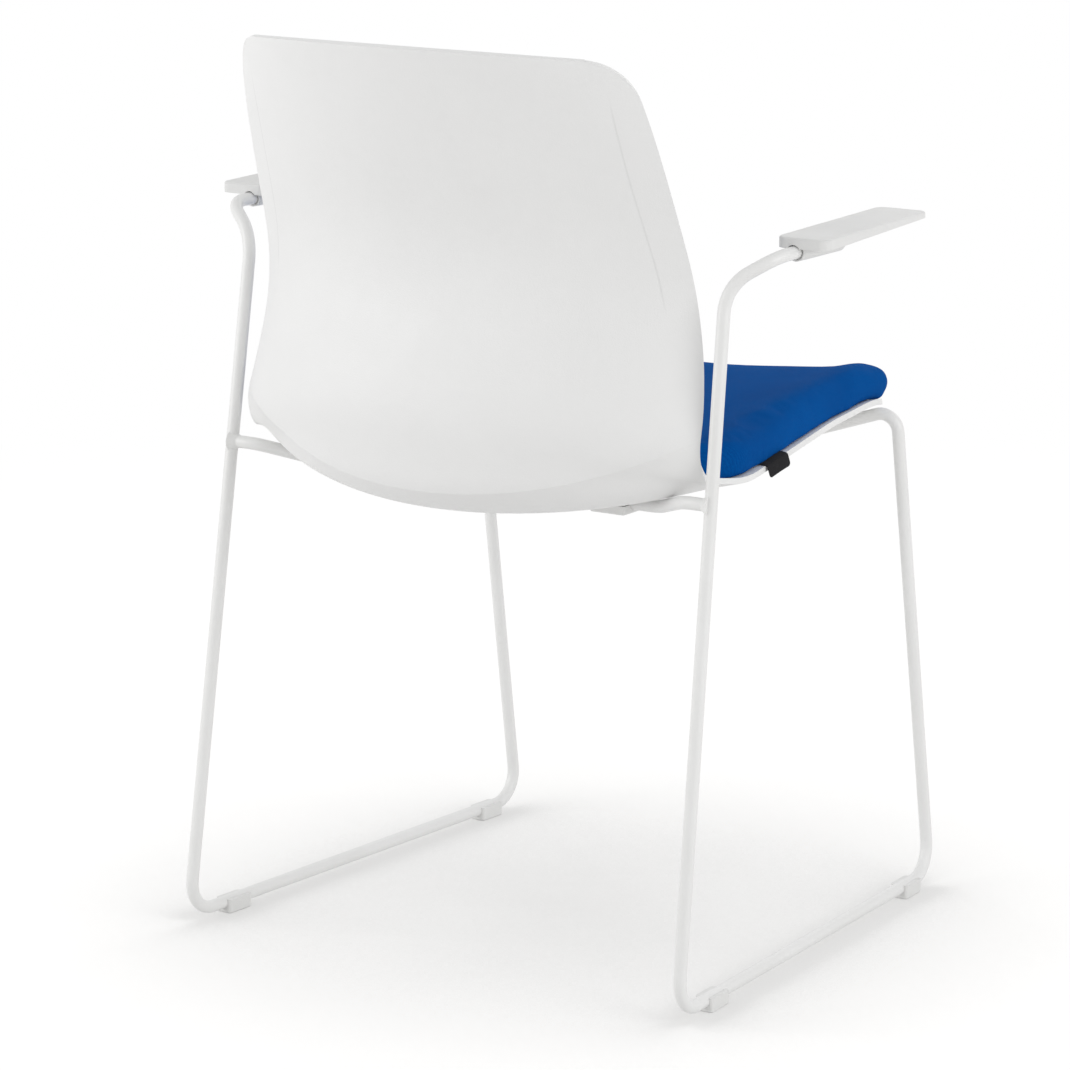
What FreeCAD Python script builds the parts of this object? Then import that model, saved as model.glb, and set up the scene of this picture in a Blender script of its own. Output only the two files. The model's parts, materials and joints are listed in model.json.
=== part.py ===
import FreeCAD, Part
import math
import os
import Sketcher
from FreeCAD import Placement, Rotation, Vector

# Stacking visitor chair: bent rod sled frame, one-piece seat and back shell, upholstered seat cushion.
# Frame of the chair: +Z up, the sitter faces -Y, +X is the sitter's left, the floor is Z = 0.
# Setbacks are measured forwards from the rear corner of the runners.

doc = FreeCAD.newDocument("VisitorChair")
sheet = doc.addObject("Spreadsheet::Sheet", "Sizes")

SIZES = (
    ("rear_corner_y", 206.7, "rear corner of the runners, from the middle of the chair's depth"),
    ("rod_diameter", 11.0, "solid steel rod of the whole frame"),
    ("glide_sole", 4.2, "plastic between the runner and the floor"),
    ("rear_foot_half_width", 251.7, "runner axis at its rear corner"),
    ("front_foot_half_width", 224.6, "runner axis at its front corner"),
    ("runner_length", 473.4, "rear corner to front corner"),
    ("foot_bend_radius", 27.0, "bends at both ends of a runner"),
    ("rear_leg_top_half_width", 239.1, "where the rear leg turns outwards"),
    ("rear_leg_top_setback", 86.2, ""),
    ("rear_leg_top_height", 600.2, ""),
    ("rear_leg_top_radius", 40.0, ""),
    ("arm_half_width", 275.0, "axis of the arm run"),
    ("arm_bend_setback", 107.4, "where the rod turns forwards into the arm"),
    ("arm_height", 624.0, "axis of the arm run"),
    ("arm_bend_radius", 24.0, ""),
    ("arm_rod_insertion", 62.0, "rod inside the arm pad"),
    ("front_leg_top_half_width", 221.7, "where the front leg turns under the seat"),
    ("front_leg_top_setback", 404.6, ""),
    ("front_leg_top_height", 446.0, ""),
    ("front_leg_top_radius", 15.0, ""),
    ("front_cross_half_length", 137.0, "level part of the front cross run"),
    ("front_cross_height", 418.0, ""),
    ("cross_bend_radius", 60.0, ""),
    ("rear_cross_bend_radius", 28.0, ""),
    ("rear_cross_height", 424.0, "where the rear cross rod meets the legs"),
    ("rear_cross_bend_half_width", 216.0, "where it turns down and forwards"),
    ("rear_cross_half_length", 172.0, "its level part"),
    ("rear_cross_drop", 15.5, ""),
    ("rear_cross_sweep", 35.0, ""),
    ("weld_leg", 2.0, "leg of the weld fillet round the rear cross rod"),
    ("glide_length", 30.0, ""),
    ("glide_width", 17.0, ""),
    ("glide_height", 13.0, ""),
    ("glide_fit", 0.1, "play of the clip on the rod"),
    ("glide_edge", 1.5, ""),
    ("glide_corner", 3.0, ""),
    ("rear_glide_setback", 60.0, ""),
    ("front_glide_setback", 427.0, ""),
    ("pad_width", 48.5, ""),
    ("pad_length", 170.0, ""),
    ("pad_rear_setback", 131.5, ""),
    ("pad_side_offset", 7.3, "middle of the pad beyond the arm's rod"),
    ("pad_top_over_rod", 12.5, "top of the pad's rear end over the rod's axis"),
    ("pad_rise", 3.5, "from the rear end to the front end"),
    ("pad_front_edge", 4.8, "thickness of the pad at its front"),
    ("pad_rear_edge", 9.0, "thickness of the pad at its rear"),
    ("pad_corner_radius", 9.0, ""),
    ("pad_top_bevel", 1.0, ""),
    ("sleeve_wall", 2.0, "sleeve of the pad round the rod"),
    ("sleeve_setback", 136.0, "mouth of the sleeve"),
    ("sleeve_length", 68.0, ""),
    ("sleeve_fit", 0.1, "play of the rod in the sleeve"),
    ("sleeve_recess", 2.0, "depth of the ring gap at the sleeve's mouth"),
    ("sleeve_ring", 1.0, "width of the ring gap"),
    ("pad_screw_diameter", 4.0, ""),
    ("pad_screw_inset", 22.0, "first grub screw, from the sleeve's mouth"),
    ("pad_screw_pitch", 30.0, ""),
    ("pad_screw_length", 13.4, ""),
    ("wall", 5.0, "thickness of the shell"),
    ("seat_front_setback", 442.0, "underside of the shell on the centre line"),
    ("seat_front_height", 421.5, ""),
    ("seat_brow_setback", 400.0, ""),
    ("seat_brow_height", 427.2, ""),
    ("seat_brow_radius", 90.0, ""),
    ("seat_rear_setback", 92.0, ""),
    ("seat_rear_height", 420.0, ""),
    ("heel_setback", -8.0, "lowest corner of the shell, behind the legs' line"),
    ("heel_height", 383.0, ""),
    ("heel_radius", 45.0, ""),
    ("seat_rear_radius", 80.0, ""),
    ("low_back_setback", -25.5, ""),
    ("low_back_height", 500.0, ""),
    ("low_back_radius", 116.0, ""),
    ("lumbar_setback", 21.0, ""),
    ("lumbar_height", 601.0, ""),
    ("lumbar_radius", 170.0, ""),
    ("back_top_setback", -61.0, ""),
    ("back_top_height", 791.5, ""),
    ("rim_front_setback", 440.0, "edge of the shell beside the seat and the back"),
    ("rim_front_height", 443.5, ""),
    ("rim_brow_setback", 402.0, ""),
    ("rim_brow_height", 448.0, ""),
    ("rim_brow_radius", 90.0, ""),
    ("rim_thigh_setback", 319.0, ""),
    ("rim_thigh_height", 444.0, ""),
    ("rim_thigh_radius", 190.0, ""),
    ("rim_hip_setback", 145.0, ""),
    ("rim_hip_height", 425.5, ""),
    ("rim_hip_radius", 116.0, ""),
    ("rim_corner_setback", 72.5, ""),
    ("rim_corner_height", 438.5, ""),
    ("rim_corner_radius", 12.0, ""),
    ("rim_low_setback", 64.0, ""),
    ("rim_low_height", 461.0, ""),
    ("rim_low_radius", 30.0, ""),
    ("rim_waist_setback", 92.5, ""),
    ("rim_waist_height", 565.0, ""),
    ("rim_waist_radius", 190.0, ""),
    ("rim_top_setback", 12.5, ""),
    ("rim_top_height", 783.0, ""),
    ("front_half_width", 198.0, ""),
    ("thigh_half_width", 208.0, ""),
    ("hip_half_width", 228.3, ""),
    ("waist_half_width", 216.8, ""),
    ("shoulder_half_width", 204.0, ""),
    ("top_half_width", 192.0, ""),
    ("front_corner_radius", 34.0, ""),
    ("top_corner_radius", 55.0, ""),
    ("seat_clearance", 0.3, "between the shell, the board and the cushion"),
    ("board_thickness", 4.0, ""),
    ("board_inset", 22.0, "board edge inside the shell's edge"),
    ("cushion_inset", 3.0, "cushion edge inside the shell's edge"),
    ("cushion_thickness", 30.0, "at the edge"),
    ("cushion_crown", 2.5, "extra thickness in the middle"),
    ("cushion_draw_in", 4.0, "how far the sides pull in at the bottom"),
    ("cushion_nose", 19.0, "length of the rounded front"),
    ("cushion_overhang", 13.0, "cushion in front of the shell's edge"),
    ("cushion_front_corner", 26.0, ""),
    ("cushion_shoulder", 13.0, "rounding of the upper edge"),
    ("cushion_reach", 402.0, "from the shell's front edge to the cushion's rear end"),
    ("cushion_heel", 15.0, "length of the rounded rear end"),
    ("cushion_rear_corner", 40.0, ""),
    ("board_corner_radius", 30.0, ""),
    ("front_clamp_half_spacing", 95.0, ""),
    ("rear_clamp_half_spacing", 130.0, ""),
    ("clamp_length", 34.0, "along the rod"),
    ("clamp_width", 31.0, "across the rod"),
    ("clamp_sole", 2.5, "plastic under the rod"),
    ("clamp_edge", 2.0, ""),
    ("clamp_split", 0.5, "half the gap between the cap and the shell's boss"),
    ("clamp_fit", 0.15, ""),
    ("boss_height", 22.0, "block of the shell over the rod, before it is trimmed to the wall"),
    ("clamp_screw_pitch", 21.0, "across the rod"),
    ("clamp_screw_diameter", 5.0, ""),
    ("clamp_screw_head", 8.0, ""),
    ("clamp_screw_head_height", 3.0, ""),
    ("clamp_screw_length", 14.0, ""),
    ("board_screw_half_spacing", 120.0, ""),
    ("board_screw_front_setback", 330.0, ""),
    ("board_screw_rear_setback", 150.0, ""),
    ("board_screw_diameter", 4.5, ""),
    ("board_screw_head", 9.0, ""),
    ("board_screw_head_height", 2.4, ""),
    ("board_screw_length", 11.7, ""),
    ("screw_pad_diameter", 16.0, "flat boss under each board screw"),
    ("screw_pad_height", 3.0, ""),
    ("screw_play", 0.2, ""),
    ("label_width", 40.0, "along the edge of the seat"),
    ("label_drop", 11.0, ""),
    ("label_thickness", 1.2, ""),
    ("label_reach", 7.2, "from the cushion's side over the shell's edge"),
    ("label_lean", 1.5, "how far its lower edge stands out"),
    ("label_setback", 203.0, ""),
)


def fill_sheet():
    for row, (alias, value, note) in enumerate(SIZES, start=1):
        sheet.set(f"A{row}", alias)
        sheet.set(f"B{row}", str(value))
        sheet.set(f"C{row}", note)
        sheet.setAlias(f"B{row}", alias)
    doc.recompute()


def size(alias):
    return float(sheet.get(alias))


def value_of(expression):
    return float(sheet.evalExpression(expression))


fill_sheet()


# Curves and routes

def rounded_route(points, radii):
    """A wire of straight runs joined by tangent arcs, one radius for each inner corner."""
    edges = []
    start = points[0]
    for corner, after, radius in zip(points[1:-1], points[2:], radii):
        back = (start - corner).normalize()
        ahead = (after - corner).normalize()
        half_turn = (math.pi - back.getAngle(ahead)) / 2
        tangent = radius * math.tan(half_turn)
        entry = corner + back * tangent
        leave = corner + ahead * tangent
        bisector = (back + ahead).normalize()
        middle = corner + bisector * (radius / math.cos(half_turn) - radius)
        edges.append(Part.LineSegment(start, entry).toShape())
        edges.append(Part.Arc(entry, middle, leave).toShape())
        start = leave
    edges.append(Part.LineSegment(start, points[-1]).toShape())
    return Part.Wire(edges)


class Route:
    """A rounded route that gives the point at any share of its length."""

    def __init__(self, points, radii):
        self.edges = rounded_route(points, radii).Edges
        self.length = sum(edge.Length for edge in self.edges)

    def point(self, share):
        rest = min(max(share, 0.0), 1.0) * self.length
        for edge in self.edges:
            if rest <= edge.Length or edge is self.edges[-1]:
                return edge.valueAt(edge.getParameterByLength(min(rest, edge.Length)))
            rest -= edge.Length


def smooth_value(knots, share):
    """Cubic curve through (share, value) knots, with slopes taken from the neighbours."""
    last = len(knots) - 1
    index = max(i for i in range(last) if knots[i][0] <= share or i == 0)
    (left, low), (right, high) = knots[index], knots[index + 1]
    before = knots[max(index - 1, 0)]
    after = knots[min(index + 2, last)]
    span = right - left
    slope_left = (high - before[1]) / (right - before[0]) * span
    slope_right = (after[1] - low) / (after[0] - left) * span
    t = (share - left) / span
    return (low * (2 * t**3 - 3 * t**2 + 1) + slope_left * (t**3 - 2 * t**2 + t)
            + high * (3 * t**2 - 2 * t**3) + slope_right * (t**3 - t**2))


def behind(setback):
    """Y of a point that lies this far forwards of the runners' rear corner."""
    return size("rear_corner_y") - size(setback)


# Document helpers

def origin_plane(body, role):
    return next(item for item in body.Origin.OriginFeatures if item.Role == role)


def new_body(name):
    body = doc.addObject("PartDesign::Body", name)
    body.Label = name
    return body


def new_sketch(body, name, role, offset=None):
    sketch = body.newObject("Sketcher::SketchObject", name)
    sketch.AttachmentSupport = [(origin_plane(body, role), "")]
    sketch.MapMode = "FlatFace"
    if offset:
        sketch.setExpression(".AttachmentOffset.Base.z", offset)
    return sketch


def pin_point(sketch, item, point, across, up):
    """Hold a sketch point at two expressions, measured from the sketch origin."""
    for kind, expression in (("DistanceX", across), ("DistanceY", up)):
        row = sketch.addConstraint(Sketcher.Constraint(kind, -1, 1, item, point, value_of(expression)))
        sketch.setExpression(f"Constraints[{row}]", expression)


def draw_polygon(sketch, corners):
    """Closed outline whose corners are pairs of expressions."""
    spots = [Vector(value_of(across), value_of(up), 0) for across, up in corners]
    count = len(spots)
    for index, spot in enumerate(spots):
        sketch.addGeometry(Part.LineSegment(spot, spots[(index + 1) % count]), False)
    for index in range(count):
        sketch.addConstraint(Sketcher.Constraint("Coincident", index, 2, (index + 1) % count, 1))
    for index, (across, up) in enumerate(corners):
        pin_point(sketch, index, 1, across, up)


def draw_circle(sketch, across, up, radius):
    centre = Vector(value_of(across), value_of(up), 0)
    item = sketch.addGeometry(Part.Circle(centre, Vector(0, 0, 1), value_of(radius)), False)
    pin_point(sketch, item, 3, across, up)
    row = sketch.addConstraint(Sketcher.Constraint("Radius", item, value_of(radius)))
    sketch.setExpression(f"Constraints[{row}]", radius)


def add_pad(body, sketch, name, length, symmetric=False, reverse=False):
    pad = body.newObject("PartDesign::Pad", name)
    pad.Profile = sketch
    pad.setExpression("Length", length)
    if symmetric:
        pad.SideType = "Symmetric"
    pad.Reversed = reverse
    doc.recompute()
    return pad


def add_pocket(body, sketch, name, length=None, symmetric=False, reverse=False):
    """Pocket that has to take material away."""
    before = body.Tip.Shape.Volume
    pocket = body.newObject("PartDesign::Pocket", name)
    pocket.Profile = sketch
    if length:
        pocket.setExpression("Length", length)
    else:
        pocket.Type = "ThroughAll"
    if symmetric:
        pocket.SideType = "Symmetric"
    pocket.Reversed = reverse
    doc.recompute()
    if pocket.Shape.Volume >= before:
        raise RuntimeError(f"{name} cuts nothing")
    return pocket


def edge_names(shape, test):
    return [f"Edge{index}" for index, edge in enumerate(shape.Edges, start=1) if test(edge)]


def add_rounding(body, name, kind, amount, test):
    base = body.Tip
    rounding = body.newObject(f"PartDesign::{kind}", name)
    rounding.Base = (base, edge_names(base.Shape, test))
    rounding.setExpression("Radius" if kind == "Fillet" else "Size", amount)
    doc.recompute()
    return rounding


def is_parallel(edge, direction):
    if not isinstance(edge.Curve, Part.Line):
        return False
    return abs(abs(edge.Curve.Direction.dot(direction)) - 1) < 1e-6


def helper_shape(name, shape):
    item = doc.addObject("Part::Feature", name)
    item.Shape = shape
    return item


def add_boolean(kind, name, base, tool):
    item = doc.addObject(f"Part::{kind}", name)
    item.Base = base
    item.Tool = tool
    doc.recompute()
    return item


# Frame rods

def swept_rod(name, wire, radius="Sizes.rod_diameter / 2"):
    """Round rod along a wire: a circle swept along its path."""
    path = helper_shape(f"{name}_path", wire)
    circle = doc.addObject("Part::Circle", f"{name}_section")
    circle.setExpression("Radius", radius)
    first = wire.Edges[0]
    start = first.valueAt(first.FirstParameter)
    heading = first.tangentAt(first.FirstParameter)
    circle.Placement = Placement(start, Rotation(Vector(0, 0, 1), heading))
    rod = doc.addObject("Part::Sweep", name)
    rod.Sections = [circle]
    rod.Spine = (path, [f"Edge{i}" for i in range(1, len(wire.Edges) + 1)])
    rod.Solid = True
    rod.Frenet = False
    doc.recompute()
    return rod


def runner_axis_height():
    return size("glide_sole") + size("rod_diameter") / 2


def side_route(side):
    """Axis of one side frame, from the rod's end in the arm pad to the middle of the front cross run."""
    rear = size("rear_corner_y")
    floor_axis = runner_axis_height()
    arm_end = behind("pad_rear_setback") - size("arm_rod_insertion")
    corners = (
        Vector(size("arm_half_width"), arm_end, size("arm_height")),
        Vector(size("arm_half_width"), behind("arm_bend_setback"), size("arm_height")),
        Vector(size("rear_leg_top_half_width"), behind("rear_leg_top_setback"), size("rear_leg_top_height")),
        Vector(size("rear_foot_half_width"), rear, floor_axis),
        Vector(size("front_foot_half_width"), behind("runner_length"), floor_axis),
        Vector(size("front_leg_top_half_width"), behind("front_leg_top_setback"),
               size("front_leg_top_height")),
        Vector(size("front_cross_half_length"), behind("front_leg_top_setback"), size("front_cross_height")),
        Vector(0, behind("front_leg_top_setback"), size("front_cross_height")),
    )
    radii = [size(name) for name in ("arm_bend_radius", "rear_leg_top_radius", "foot_bend_radius",
                                     "foot_bend_radius", "front_leg_top_radius", "cross_bend_radius")]
    return rounded_route([Vector(side * p.x, p.y, p.z) for p in corners], radii)


def rear_leg_point(height):
    """Point on the right-hand side leg axis at a height, for +X."""
    foot = Vector(size("rear_foot_half_width"), size("rear_corner_y"), runner_axis_height())
    top = Vector(size("rear_leg_top_half_width"), behind("rear_leg_top_setback"), size("rear_leg_top_height"))
    return foot + (top - foot) * ((height - foot.z) / (top.z - foot.z))


def rear_cross_level():
    """Y and Z of the level middle part of the rear cross rod."""
    joint = rear_leg_point(size("rear_cross_height"))
    return joint.y - size("rear_cross_sweep"), joint.z - size("rear_cross_drop")


def rear_cross_route():
    joint = rear_leg_point(size("rear_cross_height"))
    level_y, level_z = rear_cross_level()
    half = [joint,
            Vector(size("rear_cross_bend_half_width"), joint.y, joint.z),
            Vector(size("rear_cross_half_length"), level_y, level_z)]
    corners = half + [Vector(-p.x, p.y, p.z) for p in reversed(half)]
    return rounded_route(corners, [size("rear_cross_bend_radius")] * 4)


def make_frame():
    left = swept_rod("left_side_frame", side_route(+1))
    right = swept_rod("right_side_frame", side_route(-1))
    bar = swept_rod("cross_bar", rear_cross_route())
    joint = rear_leg_point(size("rear_cross_height"))
    for side in (+1, -1):
        weld = doc.addObject("Part::Cone", "weld_bead")
        weld.setExpression("Radius1", "Sizes.rod_diameter / 2 + Sizes.weld_leg * 2")
        weld.setExpression("Radius2", "Sizes.rod_diameter / 2")
        weld.setExpression("Height", "Sizes.rod_diameter / 2 + Sizes.weld_leg")
        weld.Placement = Placement(Vector(side * joint.x, joint.y, joint.z),
                                   Rotation(Vector(0, 0, 1), Vector(-side, 0, 0)))
        bar = add_boolean("Fuse", "welded_bar", bar, weld)
    for leg in (left, right):
        bar = add_boolean("Cut", "coped_bar", bar, leg)
    bar.Label = "rear_cross_rod"
    return left, right, bar


# Seat and back shell

def spine_route():
    """Underside and rear face of the shell on the centre line, from the front of the seat to the top."""
    names = ("seat_front", "seat_brow", "seat_rear", "heel", "low_back", "lumbar", "back_top")
    points = [Vector(0, behind(f"{name}_setback"), size(f"{name}_height")) for name in names]
    return Route(points, [size(f"{name}_radius") for name in names[1:-1]])


def rim_route():
    """Edge of the shell seen from the side, from the front of the seat to the top of the back."""
    names = ("front", "brow", "thigh", "hip", "corner", "low", "waist", "top")
    points = [Vector(0, behind(f"rim_{name}_setback"), size(f"rim_{name}_height")) for name in names]
    return Route(points, [size(f"rim_{name}_radius") for name in names[1:-1]])


class ShellForm:
    """The outer face of the shell: circular arcs hung between the spine and the two rims."""

    PAIRS = ((0.0, 0.0, 0.0), (0.4, 0.475, 0.45), (0.48, 0.54, 0.475), (0.56, 0.60, 0.50), (1.0, 1.0, 1.0))
    WIDTHS = ((0.0, "front"), (0.15, "thigh"), (0.45, "hip"), (0.56, "hip"), (0.7, "waist"),
              (0.9, "shoulder"), (1.0, "top"))

    def __init__(self):
        self.spine = spine_route()
        self.rim = rim_route()
        self.widths = [(share, size(f"{name}_half_width")) for share, name in self.WIDTHS]

    def shares(self, u):
        index = max(i for i in range(len(self.PAIRS) - 1) if self.PAIRS[i][0] <= max(u, 0.0))
        low, high = self.PAIRS[index], self.PAIRS[index + 1]
        t = (u - low[0]) / (high[0] - low[0])
        return low[1] + t * (high[1] - low[1]), low[2] + t * (high[2] - low[2])

    def half_width(self, u):
        return smooth_value(self.widths, self.shares(max(u, 0.0))[1])

    def point(self, u, across):
        if u < 0:
            start = self.point(0.0, across)
            return start + (start - self.point(0.01, across)) * (-u / 0.01)
        on_spine, on_rim = self.shares(u)
        centre = self.spine.point(on_spine)
        towards_rim = self.rim.point(on_rim) - centre
        depth = towards_rim.Length
        half = self.half_width(u)
        radius = (half**2 + depth**2) / (2 * depth)
        sag = radius - math.sqrt(radius**2 - across**2)
        return centre + towards_rim * (sag / depth) + Vector(across, 0, 0)

    def normal(self, u, across):
        """Unit normal of the face, towards the sitter."""
        step = 0.002
        along = self.point(min(u + step, 1.0), across) - self.point(min(u, 1.0 - step) - step, across)
        sideways = self.point(u, across + 1) - self.point(u, across - 1)
        return sideways.cross(along).normalize()

    def lifted(self, u, across, offset):
        return self.point(u, across) + self.normal(u, across) * offset

    def u_at_setback(self, setback, across):
        """Place on the seat whose face lies this far forwards of the rear corner."""
        low, high = 0.0, 0.45
        for _ in range(30):
            middle = (low + high) / 2
            if self.point(middle, across).y < size("rear_corner_y") - setback:
                low = middle
            else:
                high = middle
        return (low + high) / 2


form = ShellForm()
ROW_COUNT = 32
SEAT_END = 0.5
HEEL_END = 0.5625


def shell_rows(extra=0.0, end=1.0, first=0):
    """Evenly spaced (place, half width) rows, from the front of the seat to a place on the back."""
    last = round(ROW_COUNT * end)
    return [(i / ROW_COUNT, form.half_width(i / ROW_COUNT) + extra) for i in range(first, last + 1)]


def curved_face(rows, offset):
    """Face through points of the form, rows of (place, half width)."""
    columns = 9
    grid = [[form.lifted(u, half * (1 - 2 * k / (columns - 1)), offset) for k in range(columns)]
            for u, half in rows]
    surface = Part.BSplineSurface()
    surface.interpolate(grid)
    return surface.toShape()


def closed_solid(faces):
    shell = Part.Shell(faces)
    shell.sewShape()
    solid = Part.Solid(shell)
    if solid.Volume < 0:
        solid.reverse()
    return solid


def curved_plate(name, rows, low, high):
    """Plate between two offsets of the form, its edges ruled between the two faces."""
    lower = curved_face(rows, low)
    upper = curved_face(rows, high)
    sides = [Part.makeRuledSurface(below, above) for below, above in zip(lower.Edges, upper.Edges)]
    return helper_shape(name, closed_solid([lower, upper] + sides))


CORNER_SLACK = 0.1


def corner_tool(name, corner, on_end, on_side, radius, axis):
    """Prism that rounds the corner of a plate; the three points follow its two edges."""
    flat = [p - axis * p.dot(axis) for p in (on_end, corner, on_side)]
    arc = rounded_route(flat, [radius]).Edges[1]
    first, last = arc.valueAt(arc.FirstParameter), arc.valueAt(arc.LastParameter)
    diagonal = flat[1] - (first + last) / 2
    outside = flat[1] + diagonal
    outline = Part.Wire([arc, Part.LineSegment(last, outside).toShape(),
                         Part.LineSegment(outside, first).toShape()])
    depth = radius + size("wall") * 2
    outline.translate(axis * (corner.dot(axis) - depth) + diagonal.normalize() * CORNER_SLACK)
    return helper_shape(name, Part.Face(outline).extrude(axis * depth * 2))


def rounded_corners(name, plate, ends, half_width, radius_name):
    """Round the corners of a plate at its ends, given as (place, direction towards the middle)."""
    radius = size(radius_name)
    for end, inwards in ends:
        for side in (1, -1):
            corner = form.point(end, side * half_width(end))
            inner = end
            while (form.point(inner, side * half_width(inner)) - corner).Length < radius:
                inner += inwards * 0.0005
            on_side = form.point(inner, side * half_width(inner))
            on_end = form.point(end, side * (half_width(end) - radius))
            axis = form.normal(end, side * (half_width(end) - radius / 3))
            tool = corner_tool(f"{name}_corner", corner, corner + (on_end - corner) * 1.5,
                               corner + (on_side - corner) * 1.5, radius, axis)
            plate = add_boolean("Cut", f"{name}_trimmed", plate, tool)
    return plate


UP = Vector(0, 0, 1)


# Seat clamps: the shell carries half of each saddle, a loose cap the other half

RUNNER_Z = "(Sizes.glide_sole + Sizes.rod_diameter / 2)"
JOINT_SETBACK = (f"Sizes.rear_leg_top_setback * (Sizes.rear_cross_height - {RUNNER_Z})"
                 f" / (Sizes.rear_leg_top_height - {RUNNER_Z})")
CLAMPS = (
    ("front", "Sizes.front_clamp_half_spacing", "Sizes.rear_corner_y - Sizes.front_leg_top_setback",
     "Sizes.front_cross_height"),
    ("rear", "Sizes.rear_clamp_half_spacing",
     f"Sizes.rear_corner_y - {JOINT_SETBACK} - Sizes.rear_cross_sweep",
     "Sizes.rear_cross_height - Sizes.rear_cross_drop"),
)
SIDES = (("left", 1), ("right", -1))


def make_clamp(end, side_name, side, spacing, y, z):
    body = new_body(f"{side_name}_{end}_clamp")
    low = f"{z} - Sizes.rod_diameter / 2 - Sizes.clamp_sole"
    high = f"{z} - Sizes.clamp_split"
    profile = new_sketch(body, "profile", "YZ_Plane", f"{side} * {spacing}")
    draw_polygon(profile, [(f"{y} {across} Sizes.clamp_width / 2", up)
                           for across, up in (("-", low), ("+", low), ("+", high), ("-", high))])
    add_pad(body, profile, "block", "Sizes.clamp_length", symmetric=True)
    add_rounding(body, "corners", "Fillet", "Sizes.clamp_edge", lambda edge: is_parallel(edge, UP))
    add_rounding(body, "lower_edge", "Chamfer", "Sizes.clamp_edge / 2",
                 lambda edge: edge.BoundBox.ZMax < value_of(low) + 0.01)
    saddle = new_sketch(body, "saddle", "YZ_Plane", f"{side} * {spacing}")
    draw_circle(saddle, y, z, "Sizes.rod_diameter / 2 + Sizes.clamp_fit")
    add_pocket(body, saddle, "groove", symmetric=True)
    for label, radius, length in (
            ("head_seat", "Sizes.clamp_screw_head / 2 + Sizes.screw_play", "Sizes.clamp_screw_head_height"),
            ("screw_hole", "Sizes.clamp_screw_diameter / 2 + Sizes.screw_play", None)):
        holes = new_sketch(body, f"{label}_sketch", "XY_Plane", low)
        for sign in ("-", "+"):
            draw_circle(holes, f"{side} * {spacing}", f"{y} {sign} Sizes.clamp_screw_pitch / 2", radius)
        add_pocket(body, holes, label, length, reverse=True)
    return body


def screw_master(prefix, grip):
    """Pan head screw standing on the origin: shank upwards, head below."""
    head = doc.addObject("Part::Cylinder", f"{prefix}_head")
    head.setExpression("Radius", f"Sizes.{prefix}_head / 2")
    head.setExpression("Height", f"Sizes.{prefix}_head_height")
    head.Placement = Placement(Vector(0, 0, -size(f"{prefix}_head_height")), Rotation())
    doc.recompute()
    edge = doc.addObject("Part::Chamfer", f"{prefix}_head_edge")
    edge.Base = head
    rim = size(f"{prefix}_head_height") / 3
    edge.Edges = [(i, rim, rim) for i, item in enumerate(head.Shape.Edges, start=1)
                  if item.Closed and item.BoundBox.ZMax < -rim]
    shank = doc.addObject("Part::Cylinder", f"{prefix}_shank")
    shank.setExpression("Radius", f"Sizes.{prefix}_diameter / 2")
    shank.setExpression("Height", grip)
    socket = doc.addObject("Part::Prism", f"{prefix}_socket")
    socket.Polygon = 6
    socket.setExpression("Circumradius", f"Sizes.{prefix}_diameter / 3")
    socket.setExpression("Height", f"Sizes.{prefix}_head_height / 2")
    socket.Placement = head.Placement
    doc.recompute()
    solid = add_boolean("Fuse", f"{prefix}_solid", edge, shank)
    return add_boolean("Cut", f"{prefix}_master", solid, socket)


def screw_group(label, master, seats):
    """Equal screws, one at each (point under the head, direction of the shank)."""
    copies = []
    for point, direction in seats:
        copy = helper_shape(f"{label}_one", master.Shape.copy())
        copy.Placement = Placement(point, Rotation(UP, direction))
        copies.append(copy)
    group = doc.addObject("Part::Compound", label)
    group.Links = copies
    group.Label = label
    doc.recompute()
    return group


def clamp_seats():
    seats = []
    for _, spacing, y, z in CLAMPS:
        under_head = value_of(f"{z} - Sizes.rod_diameter / 2 - Sizes.clamp_sole"
                              " + Sizes.clamp_screw_head_height")
        for _, side in SIDES:
            for sign in (1, -1):
                across = value_of(f"{side} * {spacing}")
                depth = value_of(f"{y} + {sign} * Sizes.clamp_screw_pitch / 2")
                seats.append((Vector(across, depth, under_head), UP))
    return seats


def board_seats():
    """Under the head of each board screw, on the small flat pads below the shell."""
    seats = []
    for name in ("front", "rear"):
        for _, side in SIDES:
            across = side * size("board_screw_half_spacing")
            u = form.u_at_setback(size(f"board_screw_{name}_setback"), across)
            normal = form.normal(u, across)
            seats.append((form.point(u, across) - normal * size("screw_pad_height"), normal))
    return seats


def cylinder(name, radius, height, point, direction):
    item = doc.addObject("Part::Cylinder", name)
    item.setExpression("Radius", radius)
    item.setExpression("Height", height)
    item.Placement = Placement(point, Rotation(UP, direction))
    doc.recompute()
    return item


def fused(name, items):
    group = doc.addObject("Part::MultiFuse", name)
    group.Shapes = items
    doc.recompute()
    return group


# Shell with its bosses

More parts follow.
